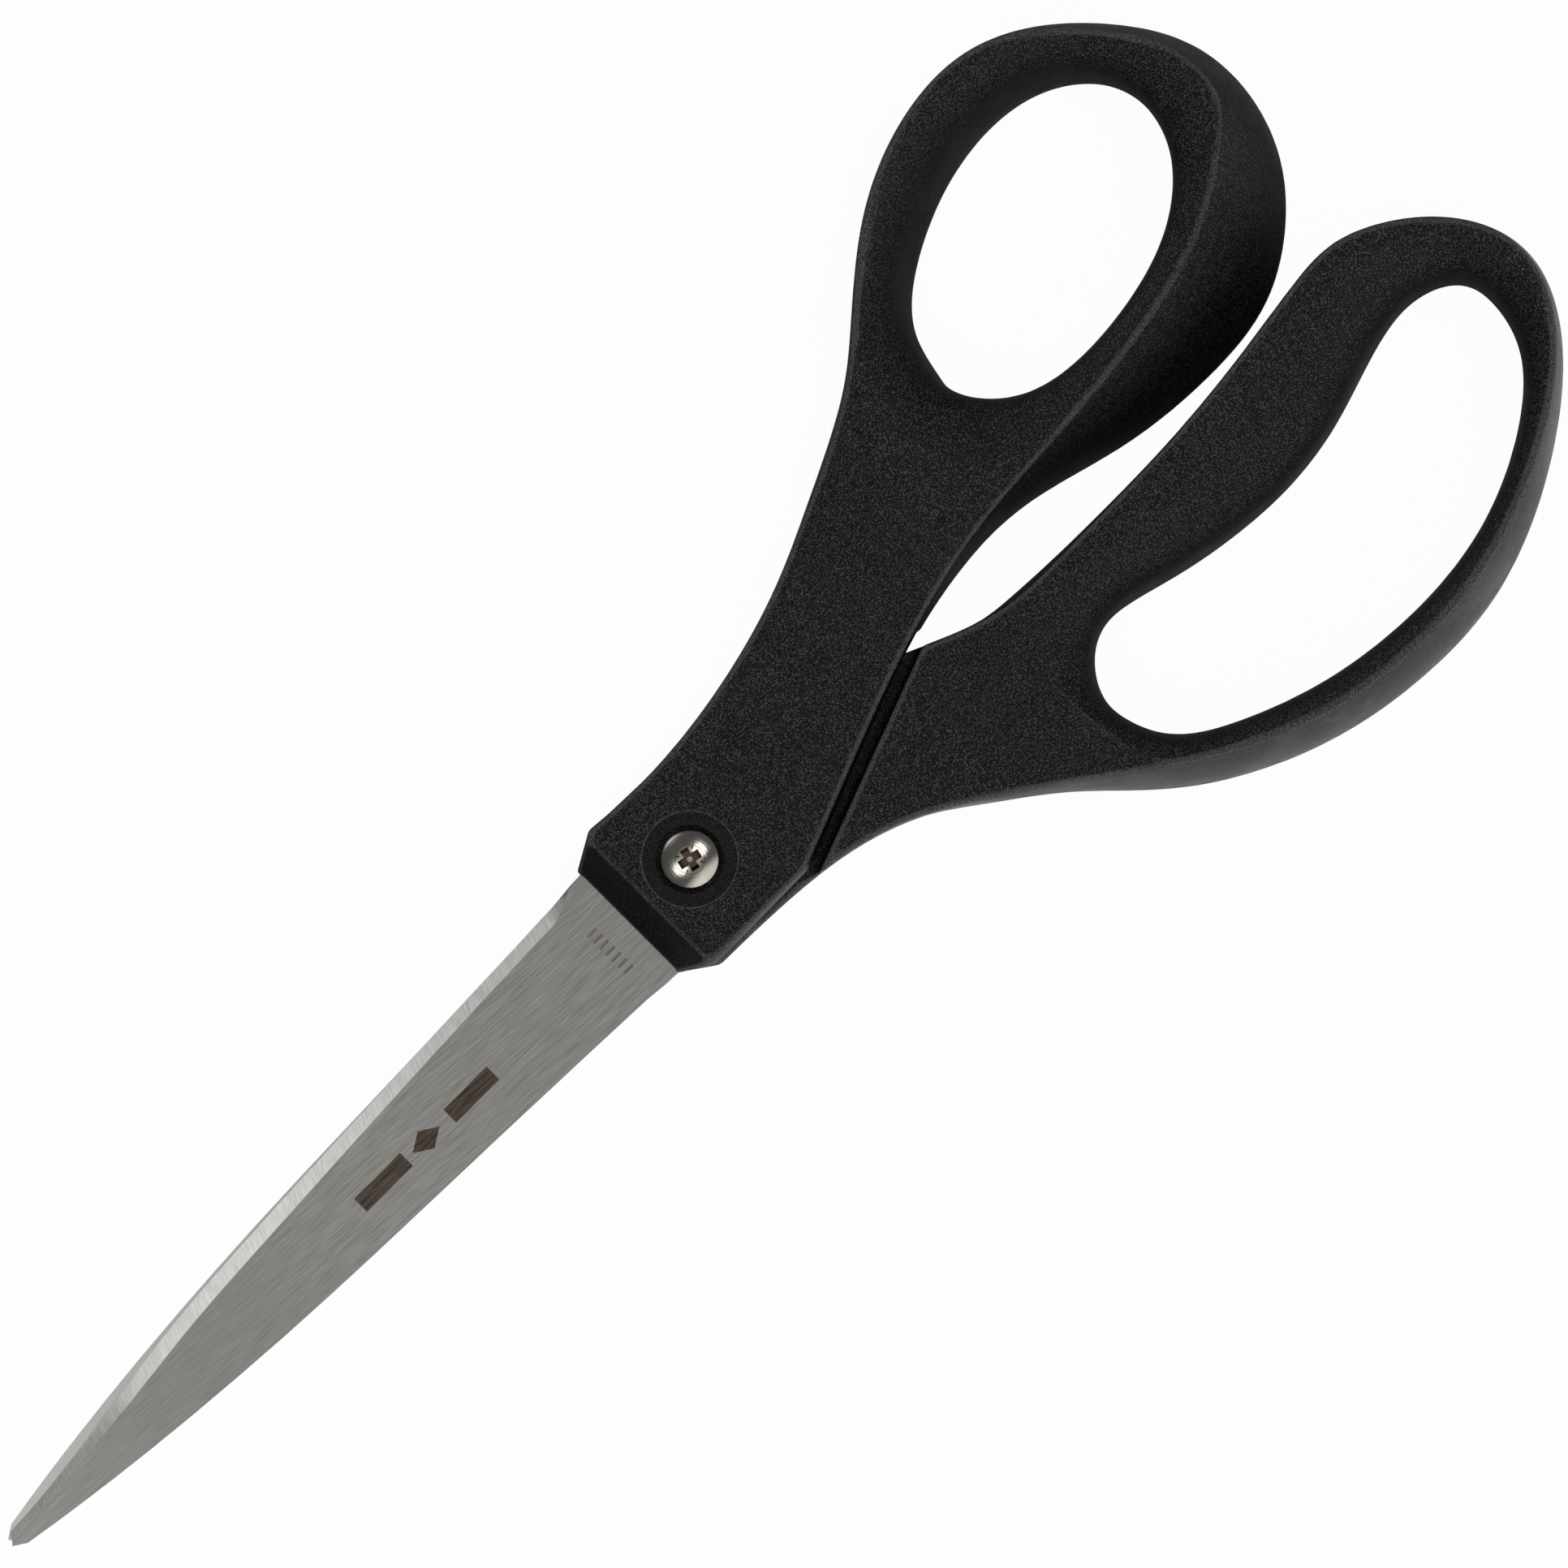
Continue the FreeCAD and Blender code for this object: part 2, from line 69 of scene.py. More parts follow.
def start_from(node, name):
    """A new piece from the design's mesh of that node, with its loose triangles merged."""
    bpy.ops.object.select_all(action="DESELECT")
    frame["nodes"][node].select_set(True)
    bpy.context.view_layer.objects.active = frame["nodes"][node]
    bpy.ops.object.duplicate()
    bpy.ops.object.parent_clear(type="CLEAR_KEEP_TRANSFORM")
    bpy.ops.mesh.customdata_custom_splitnormals_clear()
    piece = bpy.context.object
    piece.name = name
    piece.data.name = name
    piece.data.materials.clear()
    bpy.ops.object.mode_set(mode="EDIT")
    bpy.ops.mesh.select_all(action="SELECT")
    bpy.ops.mesh.remove_doubles(threshold=SAME_POINT)
    bpy.ops.object.mode_set(mode="OBJECT")
    return piece


def apply_modifier(piece, kind, **settings):
    """Puts a modifier on a piece, sets it up and applies it."""
    modifier = piece.modifiers.new(kind.lower(), kind)
    for setting, value in settings.items():
        setattr(modifier, setting, value)
    bpy.context.view_layer.objects.active = piece
    bpy.ops.object.modifier_apply(modifier=modifier.name)


def ease_edges(piece, width, angle):
    """Breaks a piece's sharp edges, and keeps the shading of its flats flat up to them."""
    apply_modifier(piece, "BEVEL", width=width, segments=2, angle_limit=math.radians(angle))
    bpy.ops.object.shade_smooth_by_angle(angle=math.radians(angle))
    apply_modifier(piece, "WEIGHTED_NORMAL", weight=100, keep_sharp=True)


def finish_piece(piece, material, body):
    """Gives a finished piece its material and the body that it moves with."""
    piece.data.materials.append(material)
    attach(piece, body)


def new_material(name):
    """An empty material's node tree and its shader."""
    material = bpy.data.materials.new(name)
    material.use_nodes = True
    return material, material.node_tree, material.node_tree.nodes["Principled BSDF"]


def feed(tree, socket, value):
    """Gives a socket its value, or links it to the node output that it is given instead."""
    if isinstance(value, bpy.types.NodeSocket):
        tree.links.new(value, socket)
    else:
        socket.default_value = value


def add_node(tree, kind, inputs, **settings):
    """Adds a shader node with its settings, then feeds its inputs."""
    node = tree.nodes.new(kind)
    for setting, value in settings.items():
        setattr(node, setting, value)
    for name, value in inputs.items():
        feed(tree, node.inputs[name], value)
    return node


def calculate(tree, operation, first, second=0.0, third=0.0):
    """The result of one sum on numbers that change over the surface."""
    inputs = {0: first, 1: second, 2: third}
    return add_node(tree, "ShaderNodeMath", inputs, operation=operation).outputs[0]


def ramp(tree, value, start, end, low=0.0, high=1.0):
    """Takes a value that runs from start to end to one that runs softly from low to high."""
    inputs = {"Value": value, "From Min": start, "From Max": end, "To Min": low, "To Max": high}
    return add_node(tree, "ShaderNodeMapRange", inputs, interpolation_type="SMOOTHSTEP").outputs[0]


def mix_colours(tree, share, first, second):
    """The first colour where the share is 0, and the second where it is 1."""
    inputs = {0: share, 6: first, 7: second}
    return add_node(tree, "ShaderNodeMix", inputs, data_type="RGBA").outputs[2]


def multiply(tree, *masks):
    """What is left where all the masks overlap."""
    overlap = masks[0]
    for mask in masks[1:]:
        overlap = calculate(tree, "MULTIPLY", overlap, mask)
    return overlap


def effect_group(name, inputs, output):
    """An empty node group for an effect that several finishes share."""
    group = bpy.data.node_groups.new(name, "ShaderNodeTree")
    for socket, kind in inputs.items():
        group.interface.new_socket(socket, in_out="INPUT", socket_type=kind)
    group.interface.new_socket(output, in_out="OUTPUT", socket_type="NodeSocketFloat")
    return group, group.nodes.new("NodeGroupInput").outputs, group.nodes.new("NodeGroupOutput").inputs


def make_streaks():
    """Grain drawn out to the given size each way, from 0 to 1."""
    group, given, result = effect_group(
        "streaks", {"Point": "NodeSocketVector", "Size": "NodeSocketVector"}, "Height")
    sizes = {0: given["Point"], 1: given["Size"]}
    scaled = add_node(group, "ShaderNodeVectorMath", sizes, operation="DIVIDE").outputs[0]
    noise = add_node(group, "ShaderNodeTexNoise", {"Vector": scaled, "Scale": 1.0, "Detail": 3.0})
    group.links.new(noise.outputs[0], result["Height"])
    return group


def make_handling():
    """Where hands have worn and smeared the surface: soft patches, broken up finely."""
    group, given, result = effect_group(
        "handling", {"Point": "NodeSocketVector", "Patch": "NodeSocketFloat"}, "Mask")
    scale = calculate(group, "DIVIDE", 1.0, given["Patch"])
    patches = add_node(group, "ShaderNodeTexNoise", {
        "Vector": given["Point"], "Scale": scale, "Detail": 4.0, "Roughness": 0.65})
    untouched, smeared = 0.35, 0.7
    group.links.new(ramp(group, patches.outputs[0], untouched, smeared), result["Mask"])
    return group


streaks = make_streaks()
handling = make_handling()


def use_effect(tree, group, inputs):
    """Places an effect's node group in a material's tree, for what it puts out there."""
    return add_node(tree, "ShaderNodeGroup", inputs, node_tree=group).outputs[0]


def turned_by(tree, point, angle):
    """The same point in axes turned about Z, for marks that run at that angle."""
    return add_node(tree, "ShaderNodeMapping", {"Vector": point, "Rotation": (0, 0, angle)}).outputs[0]


def near(tree, value, centre, reach, soft):
    """A mask of where a value is within that reach of the centre, with a soft limit."""
    offset = calculate(tree, "ABSOLUTE", calculate(tree, "SUBTRACT", value, centre))
    return ramp(tree, offset, reach + soft, reach - soft)


BURNT_EDGE = 0.06 * MM


def rectangle(tree, across, centre, size):
    """A mask of a soft-edged rectangle on the flat."""
    along = near(tree, across["X"], centre[0] * MM, size[0] / 2 * MM, BURNT_EDGE)
    aside = near(tree, across["Y"], centre[1] * MM, size[1] / 2 * MM, BURNT_EDGE)
    return multiply(tree, along, aside)


MARK_LINE = -1.25
MARK_BARS = {"first": ((-46.6, MARK_LINE), (6.8, 1.9)), "last": ((-33.6, MARK_LINE), (6.4, 1.9))}
LOZENGE = {"centre": -40.3, "reach": 2.0, "slimness": 1.6}
STROKE_ROW = ((-12.7, -1.1), (1.3, 6.0))
STROKE_PITCH = 0.9
STROKE_REACH = (0.1, 0.2)
STROKE_DEPTH = 0.55


def laser_mark(tree, across):
    """A lozenge between two bars, and nearer to the pivot a short row of strokes across the blade."""
    first_bar = rectangle(tree, across, *MARK_BARS["first"])
    last_bar = rectangle(tree, across, *MARK_BARS["last"])
    total = calculate(tree, "MAXIMUM", first_bar, last_bar)

    from_centre = calculate(
        tree, "ABSOLUTE", calculate(tree, "SUBTRACT", across["X"], LOZENGE["centre"] * MM))
    from_line = calculate(tree, "ABSOLUTE", calculate(tree, "SUBTRACT", across["Y"], MARK_LINE * MM))
    measure = calculate(tree, "MULTIPLY_ADD", from_line, LOZENGE["slimness"], from_centre)
    reach = LOZENGE["reach"] * MM
    lozenge = ramp(tree, measure, reach + BURNT_EDGE, reach - BURNT_EDGE)
    total = calculate(tree, "MAXIMUM", total, lozenge)

    row = rectangle(tree, across, *STROKE_ROW)
    repeat = calculate(tree, "PINGPONG", across["Y"], STROKE_PITCH / 2 * MM)
    burnt, bare = STROKE_REACH
    strokes = multiply(tree, row, ramp(tree, repeat, bare * MM, burnt * MM, high=STROKE_DEPTH))
    return calculate(tree, "MAXIMUM", total, strokes)


BRUSHING_TURN = math.radians(3)
GRINDING_TURN = math.radians(22)
FLAT_FROM = 0.97
FLAT_FULLY = 0.99
PARTING_LEVEL = 5.2
MARKED_ABOVE = 6.5
# Painted shade: the flats are painted darker towards the tip, from here to full.
DARKENED_FROM = -42
DARKEST_FROM = -75
NOISE_LOW = 0.3
NOISE_HIGH = 0.7
BRUSHED_DARK = (0.37, 0.36, 0.335, 1)
BRUSHED_LIGHT = (0.57, 0.56, 0.53, 1)
BROAD_BAND = (0.45, 0.44, 0.41, 1)
TIP_PAINTED_SHADE = (0.33, 0.325, 0.31, 1)
INNER_BRIGHT = (0.72, 0.71, 0.68, 1)
GROUND_DARK = (0.78, 0.77, 0.74, 1)
GROUND_LIGHT = (0.96, 0.95, 0.93, 1)
BURNT_BROWN = (0.075, 0.045, 0.02, 1)
CLEAN_DULLNESS = 0.33
SMEARED_DULLNESS = 0.36


def blade_steel():
    """Stainless steel with the brushing, the grinding, the mark and the faint smears of use."""
    material, tree, shader = new_material("blade_steel")
    coordinates = tree.nodes.new("ShaderNodeTexCoord").outputs
    point = coordinates["Object"]
    across = add_node(tree, "ShaderNodeSeparateXYZ", {0: point}).outputs
    lengthwise = turned_by(tree, point, BRUSHING_TURN)
    crosswise = turned_by(tree, point, GRINDING_TURN)
    brushing = use_effect(tree, streaks, {"Point": lengthwise, "Size": (4 * MM, 0.13 * MM, 1 * MM)})
    broad = use_effect(tree, streaks, {"Point": lengthwise, "Size": (16 * MM, 0.7 * MM, 1 * MM)})
    grinding = use_effect(tree, streaks, {"Point": crosswise, "Size": (0.12 * MM, 2.5 * MM, 2.5 * MM)})
    smears = use_effect(tree, handling, {"Point": point, "Patch": 14 * MM})

    facing = add_node(tree, "ShaderNodeSeparateXYZ", {0: coordinates["Normal"]}).outputs["Z"]
    upright = calculate(tree, "ABSOLUTE", facing)
    off_edges = ramp(tree, upright, 0.3, 0.4)
    off_flats = ramp(tree, upright, FLAT_FROM, 0.9)
    ground = multiply(tree, off_edges, off_flats)
    scratches = add_node(tree, "ShaderNodeMix", {0: ground, 2: brushing, 3: grinding}).outputs[0]

    brushed = mix_colours(tree, ramp(tree, brushing, NOISE_LOW, NOISE_HIGH), BRUSHED_DARK, BRUSHED_LIGHT)
    band_strength = ramp(tree, broad, NOISE_LOW, NOISE_HIGH, high=0.12)
    banded = mix_colours(tree, band_strength, brushed, BROAD_BAND)
    # Painted shade: the flats darken towards the tip.
    tip_shade_share = ramp(tree, across["X"], DARKENED_FROM * MM, DARKEST_FROM * MM, high=0.5)
    tip_shaded = mix_colours(tree, tip_shade_share, banded, TIP_PAINTED_SHADE)
    level_either_way = ramp(tree, upright, FLAT_FROM, FLAT_FULLY)
    at_parting = near(tree, across["Z"], PARTING_LEVEL * MM, 0.2 * MM, 0.05 * MM)
    inner_face = multiply(tree, level_either_way, at_parting)
    outer_and_inner = mix_colours(tree, inner_face, tip_shaded, INNER_BRIGHT)
    level_upwards = ramp(tree, facing, FLAT_FROM, FLAT_FULLY)
    high_up = ramp(tree, across["Z"], MARKED_ABOVE * MM, (MARKED_ABOVE + 0.1) * MM)
    top_flat = multiply(tree, level_upwards, high_up)
    streaked = ramp(tree, brushing, 0.2, 0.7, low=0.6)
    burnt = multiply(tree, laser_mark(tree, across), top_flat, streaked)
    flat = mix_colours(tree, burnt, outer_and_inner, BURNT_BROWN)
    bevel = mix_colours(tree, ramp(tree, grinding, 0.35, 0.65), GROUND_DARK, GROUND_LIGHT)
    tree.links.new(mix_colours(tree, ground, flat, bevel), shader.inputs["Base Color"])
    shader.inputs["Metallic"].default_value = 1.0
    dullness = ramp(tree, smears, 0.0, 1.0, CLEAN_DULLNESS, SMEARED_DULLNESS)
    tree.links.new(dullness, shader.inputs["Roughness"])
    bump = add_node(tree, "ShaderNodeBump", {"Height": scratches, "Distance": 0.004 * MM, "Strength": 1.0})
    tree.links.new(bump.outputs[0], shader.inputs["Normal"])
    return material


BLADE_EDGE = 0.04 * MM
COPLANAR = math.radians(0.2)
steel = blade_steel()
for half in ("finger", "thumb"):
    blade = start_from(f"{half}_blade", f"{half}_blade_steel")
    bpy.ops.object.mode_set(mode="EDIT")
    bpy.ops.mesh.select_all(action="SELECT")
    bpy.ops.mesh.dissolve_limited(angle_limit=COPLANAR)
    bpy.ops.object.mode_set(mode="OBJECT")
    ease_edges(blade, BLADE_EDGE, angle=25)
    finish_piece(blade, steel, f"{half}_half")
    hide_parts(f"{half}_blade")


# Handles ----------------------------------------------------------------------------------------
# Each is one moulding of black glass-filled nylon, shot round its blade's tang. The mould is
# spark-eroded, so the skin has a fine grain, but polished on the nose and on the ring round the
# screw, and every crease of the moulding is slightly soft.
TURN_SIDES = 96


def turn_up(name, rings):
    """A solid of revolution on the pivot axis, pulled up ring by ring from its lowest one."""
    radius, height = rings[0]
    bpy.ops.object.select_all(action="DESELECT")
    bpy.ops.mesh.primitive_circle_add(
        vertices=TURN_SIDES, radius=radius * MM, fill_type="NGON", location=(0, 0, height * MM))
    piece = bpy.context.object
    piece.name = name
    bpy.ops.object.transform_apply(location=True)
    bpy.ops.object.mode_set(mode="EDIT")
    bpy.ops.mesh.select_all(action="SELECT")
    for next_radius, next_height in rings[1:]:
        rise = (0, 0, (next_height - height) * MM)
        bpy.ops.mesh.extrude_region_move(TRANSFORM_OT_translate={"value": rise})
        scale = next_radius / radius
        bpy.ops.transform.resize(value=(scale, scale, 1), center_override=(0, 0, next_height * MM))
        radius, height = next_radius, next_height
    bpy.ops.mesh.select_all(action="SELECT")
    bpy.ops.mesh.normals_make_consistent(inside=False)
    bpy.ops.object.mode_set(mode="OBJECT")
    return piece


def cut_with(piece, cutter):
    """Cuts the cutter's shape out of the piece and throws the cutter away."""
    apply_modifier(piece, "BOOLEAN", operation="DIFFERENCE", object=cutter, solver="EXACT")
    bpy.data.objects.remove(cutter)


def bar_cutter(size, centre, turn, tilt=0.0, roll=0.0, taper=1.0):
    """A bar with its long side out along the given turn, narrowed towards its foot by the taper."""
    bpy.ops.object.select_all(action="DESELECT")
    bpy.ops.mesh.primitive_cube_add(size=MM)
    bar = bpy.context.object
    bpy.ops.object.mode_set(mode="EDIT")
    bpy.ops.mesh.select_mode(type="FACE")
    bpy.ops.mesh.select_all(action="DESELECT")
    bpy.ops.object.mode_set(mode="OBJECT")
    for face in bar.data.polygons:
        face.select = face.normal.z < -0.5
    bpy.ops.object.mode_set(mode="EDIT")
    bpy.ops.transform.resize(value=(taper, taper, 1), center_override=(0, 0, -MM / 2))
    bpy.ops.mesh.select_all(action="SELECT")
    bpy.ops.transform.resize(value=size, center_override=(0, 0, 0))
    bpy.ops.object.mode_set(mode="OBJECT")
    bar.location = Vector(centre) * MM
    bar.rotation_euler = (roll, tilt, turn)
    bpy.ops.object.transform_apply()
    return bar


def melt_in(piece, plug):
    """Joins a plug to the piece, to be remeshed into one skin with it."""
    bpy.ops.object.select_all(action="DESELECT")
    plug.select_set(True)
    piece.select_set(True)
    bpy.context.view_layer.objects.active = piece
    bpy.ops.object.join()


def read_vectors(items, name):
    """All the items' vectors of that name, one to a row."""
    values = numpy.empty(len(items) * 3, dtype=numpy.float32)
    items.foreach_get(name, values)
    return values.reshape(-1, 3)


EVENING_ROUNDS = 3


def mark_creases(piece):
    """Stores how far each point of the surface stands out from those round it, evened out along it."""
    mesh = piece.data
    count = len(mesh.vertices)
    place = read_vectors(mesh.vertices, "co")
    normal = read_vectors(mesh.vertices, "normal")
    ends = numpy.empty(len(mesh.edges) * 2, dtype=numpy.int32)
    mesh.edges.foreach_get("vertices", ends)
    neighbours = numpy.bincount(ends, minlength=count)
    first, second = ends.reshape(-1, 2).T
    step = place[second] - place[first]
    step /= numpy.linalg.norm(step, axis=1, keepdims=True)
    standing = numpy.bincount(first, -(normal[first] * step).sum(axis=1), count)
    standing += numpy.bincount(second, (normal[second] * step).sum(axis=1), count)
    standing /= neighbours
    for _ in range(EVENING_ROUNDS):
        around = numpy.bincount(first, standing[second], count)
        around += numpy.bincount(second, standing[first], count)
        standing = (standing + around / neighbours) / 2
    mesh.attributes.new("crease", "FLOAT", "POINT").data.foreach_set("value", standing.astype(numpy.float32))


def from_pivot(tree, point):
    """How far a point is from the pivot axis."""
    sideways_only = (1, 1, 0)
    flat = add_node(tree, "ShaderNodeVectorMath", {0: point, 1: sideways_only}, operation="MULTIPLY")
    return add_node(tree, "ShaderNodeVectorMath", {0: flat.outputs[0]}, operation="LENGTH").outputs["Value"]


RING_RADIUS = 4.92
RING_FLOOR = 10.28
RING_WALL = 0.1
RING_HIGHLIGHT = {"offset": 0.12, "reach": 0.08, "soft": 0.05}
UPPER_SIDE_FROM = 9.0
POLISHED_TO = -6.4
GRAINED_FROM = -5.8
POLISHED_GRAIN = 0.25
GRAIN_SIZE = 0.15
SHADOW_BLACK = (0.002, 0.002, 0.0022, 1)
PAINTED_GLINT_GREY = (0.125, 0.125, 0.115, 1)
WORN_AND_HIGHLIT_GREY = (0.18, 0.18, 0.168, 1)


def handle_plastic():
    """Black nylon with painted glints in its grain and fewer of them where it is polished, creases lightened
    partly as edge wear and partly as painted highlight, and a painted highlight line round the ring.
    """
    material, tree, shader = new_material("handle_plastic")
    coordinates = tree.nodes.new("ShaderNodeTexCoord").outputs
    point = coordinates["Object"]
    across = add_node(tree, "ShaderNodeSeparateXYZ", {0: point}).outputs
    facing = add_node(tree, "ShaderNodeSeparateXYZ", {0: coordinates["Normal"]}).outputs["Z"]
    grain = use_effect(tree, streaks, {"Point": point, "Size": (GRAIN_SIZE * MM,) * 3})
    hands = use_effect(tree, handling, {"Point": point, "Patch": 9 * MM})
    radius = from_pivot(tree, point)
    upper_side = ramp(tree, across["Z"], UPPER_SIDE_FROM * MM, (UPPER_SIDE_FROM + 0.5) * MM)
    within_ring = ramp(tree, radius, (RING_RADIUS + RING_WALL) * MM, RING_RADIUS * MM)
    off_ring = calculate(tree, "SUBTRACT", 1.0, multiply(tree, upper_side, within_ring))
    off_nose = ramp(tree, across["X"], POLISHED_TO * MM, GRAINED_FROM * MM)
    # Steep sides keep less grain, and fewer painted glints and crease highlights: painted light that flat
    # faces catch.
    flat_lying = ramp(tree, calculate(tree, "ABSOLUTE", facing), 0.35, 0.8, low=0.1)
    grained_and_glinting = multiply(tree, off_ring, off_nose, flat_lying)
    grain_and_glint_strength = calculate(tree, "MULTIPLY_ADD", grained_and_glinting, 1 - POLISHED_GRAIN, POLISHED_GRAIN)
    # Painted highlight: a thin light line just outside the ring's edge on the upper side.
    ring_highlight_band = near(
        tree, radius, (RING_RADIUS + RING_HIGHLIGHT["offset"]) * MM, RING_HIGHLIGHT["reach"] * MM,
        RING_HIGHLIGHT["soft"] * MM)
    upper_ring_highlight = multiply(tree, upper_side, ring_highlight_band)
    standing = add_node(tree, "ShaderNodeAttribute", {}, attribute_name="crease").outputs["Fac"]
    smooth_skin, full_crease = 0.038, 0.08
    creases = ramp(tree, standing, smooth_skin, full_crease)
    # Creases are lightened partly as edge wear and partly as painted highlight, only where faces lie flat.
    edges = calculate(tree, "MAXIMUM", multiply(tree, creases, off_ring, flat_lying), upper_ring_highlight)

    # Painted highlights: grey glint specks in the base colour where the grain catches the light.
    between_grains, on_grain = 0.51, 0.62
    painted_glints = multiply(tree, ramp(tree, grain, between_grains, on_grain), grain_and_glint_strength)
    skin = mix_colours(tree, painted_glints, SHADOW_BLACK, PAINTED_GLINT_GREY)
    worn_and_highlit = multiply(tree, edges, ramp(tree, grain, 0.35, 0.65, low=0.2, high=0.9))
    tree.links.new(mix_colours(tree, worn_and_highlit, skin, WORN_AND_HIGHLIT_GREY), shader.inputs["Base Color"])
    shader.inputs["Specular IOR Level"].default_value = 0.27
    dullness = ramp(tree, hands, 0.0, 1.0, low=0.52, high=0.42)
    tree.links.new(dullness, shader.inputs["Roughness"])
    bump = add_node(tree, "ShaderNodeBump", {
        "Height": multiply(tree, grain, grain_and_glint_strength), "Distance": 0.08 * MM, "Strength": 1.0})
    tree.links.new(bump.outputs[0], shader.inputs["Normal"])
    return material


WASHER_GAP = 0.1
WELL_RADIUS = 3.6
WELL_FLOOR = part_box("spring_washer")[0].z / MM - WASHER_GAP
WELL_EDGE = 0.08
FLANGE_RADIUS = 4.0
FLANGE_TOP = 1.45
LEAD_IN = 0.1
BARREL_RADIUS = 2.5
BORE_RADIUS = 2.56
PLUG_MARGIN = 0.6
PLUG_SEAT = 0.5
RING_DEPTH = 0.13
RING_PLUG_TOP = RING_FLOOR + 0.12
BELOW_BACK = -0.5
BELOW_BORE = 4.0
ABOVE_BARREL = 6.0
ABOVE_RING = RING_FLOOR + 0.7
FINGER_PLUG = FLANGE_RADIUS + PLUG_MARGIN
THUMB_PLUG = RING_RADIUS + PLUG_MARGIN
PIVOT_FITS = {
    "finger": {
        "plug": [(FINGER_PLUG, 0.0), (FINGER_PLUG, FLANGE_TOP + PLUG_SEAT)],
        "cutter": [
            (FLANGE_RADIUS + LEAD_IN, BELOW_BACK), (FLANGE_RADIUS, LEAD_IN), (FLANGE_RADIUS, FLANGE_TOP),
            (BARREL_RADIUS, FLANGE_TOP), (BARREL_RADIUS, ABOVE_BARREL),
        ],
    },
    "thumb": {
        "plug": [(THUMB_PLUG, WELL_FLOOR - PLUG_SEAT), (THUMB_PLUG, RING_PLUG_TOP)],
        "cutter": [
            (BORE_RADIUS, BELOW_BORE), (BORE_RADIUS, WELL_FLOOR), (WELL_RADIUS, WELL_FLOOR),
            (WELL_RADIUS, RING_FLOOR - WELL_EDGE), (WELL_RADIUS + WELL_EDGE, RING_FLOOR),
            (RING_RADIUS, RING_FLOOR), (RING_RADIUS + RING_WALL, RING_FLOOR + RING_DEPTH),
            (RING_RADIUS + RING_WALL, ABOVE_RING),
        ],
    },
}
NOSE_BEVEL = {"start": Vector((-5.3, -8.85)), "end": Vector((6.9, -9.8)), "width": 1.0, "level": 10.4}


def bevel_beside_nose():
    """A long bar that lies on the bevel along the finger side of the upper handle's nose."""
    run = NOSE_BEVEL["end"] - NOSE_BEVEL["start"]
    turn = math.atan2(run.y, run.x)
    slope = math.radians(40)
    overrun, bar_depth = 3, 4.0
    outwards = Vector((math.sin(turn), -math.cos(turn), 0))
    middle = (NOSE_BEVEL["start"] + NOSE_BEVEL["end"]) / 2
    on_bevel = Vector((*middle, NOSE_BEVEL["level"])) + NOSE_BEVEL["width"] / 2 * (
        outwards - Vector((0, 0, math.tan(slope))))
    normal = math.sin(slope) * outwards + Vector((0, 0, math.cos(slope)))
    return bar_cutter(
        (run.length + overrun, bar_depth, bar_depth), on_bevel + normal * bar_depth / 2, turn, roll=slope)


VOXEL = 0.34 * MM
plastic = handle_plastic()
for half, fits in PIVOT_FITS.items():
    handle = start_from(f"{half}_handle", f"{half}_handle_moulding")
    if half == "thumb":
        cut_with(handle, bevel_beside_nose())
    melt_in(handle, turn_up("plug", fits["plug"]))
    apply_modifier(handle, "REMESH", mode="VOXEL", voxel_size=VOXEL, use_smooth_shade=True)
    apply_modifier(handle, "SMOOTH", factor=0.5, iterations=3)
    cut_with(handle, turn_up("cutter", fits["cutter"]))
    bpy.ops.object.shade_smooth_by_angle(angle=math.radians(40))
    mark_creases(handle)
    finish_piece(handle, plastic, f"{half}_half")
    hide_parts(f"{half}_handle")


# Pivot ------------------------------------------------------------------------------------------
# A nickel-plated steel screw with a shallow pan head and a cross recess holds a spring washer on
# the end of the nut's barrel. The nut is pressed into the lower handle from the back.
PAINTED_SHADE_BROWN = (0.10, 0.06, 0.03, 1)


def bright_metal(name, light, dark, roughness, shaded_hollow=None):
    """A bright metal. The shaded_hollow gives the radius, foot and top of a hollow with dark brown shade
    painted into it.
    """
    material, tree, shader = new_material(name)
    point = tree.nodes.new("ShaderNodeTexCoord").outputs["Object"]
    smears = use_effect(tree, handling, {"Point": point, "Patch": 1.5 * MM})
    grain = use_effect(tree, streaks, {"Point": point, "Size": (0.1 * MM, 0.1 * MM, 0.1 * MM)})
    plating = mix_colours(tree, smears, light, dark)
    if shaded_hollow:
        reach, foot, top = shaded_hollow
        height = add_node(tree, "ShaderNodeSeparateXYZ", {0: point}).outputs["Z"]
        radius = from_pivot(tree, point)
        within_reach = ramp(tree, radius, (reach + 0.1) * MM, (reach - 0.1) * MM, high=0.92)
        off_centre = ramp(tree, radius, 0.2 * MM, 0.35 * MM, low=0.2)
        below_top = ramp(tree, height, top * MM, (top - 0.2) * MM)
        above_foot = ramp(tree, height, foot * MM, (foot + 0.2) * MM)
        # Painted shade: the recess is painted dark brown, lighter at its very centre.
        painted_recess_shade = multiply(tree, within_reach, off_centre, below_top, above_foot)
        plating = mix_colours(tree, painted_recess_shade, plating, PAINTED_SHADE_BROWN)
    tree.links.new(plating, shader.inputs["Base Color"])
    shader.inputs["Metallic"].default_value = 1.0
    tree.links.new(ramp(tree, smears, 0.0, 1.0, roughness, roughness * 1.5), shader.inputs["Roughness"])
    bump = add_node(tree, "ShaderNodeBump", {"Height": grain, "Distance": 0.001 * MM, "Strength": 1.0})
    tree.links.new(bump.outputs[0], shader.inputs["Normal"])
    return material


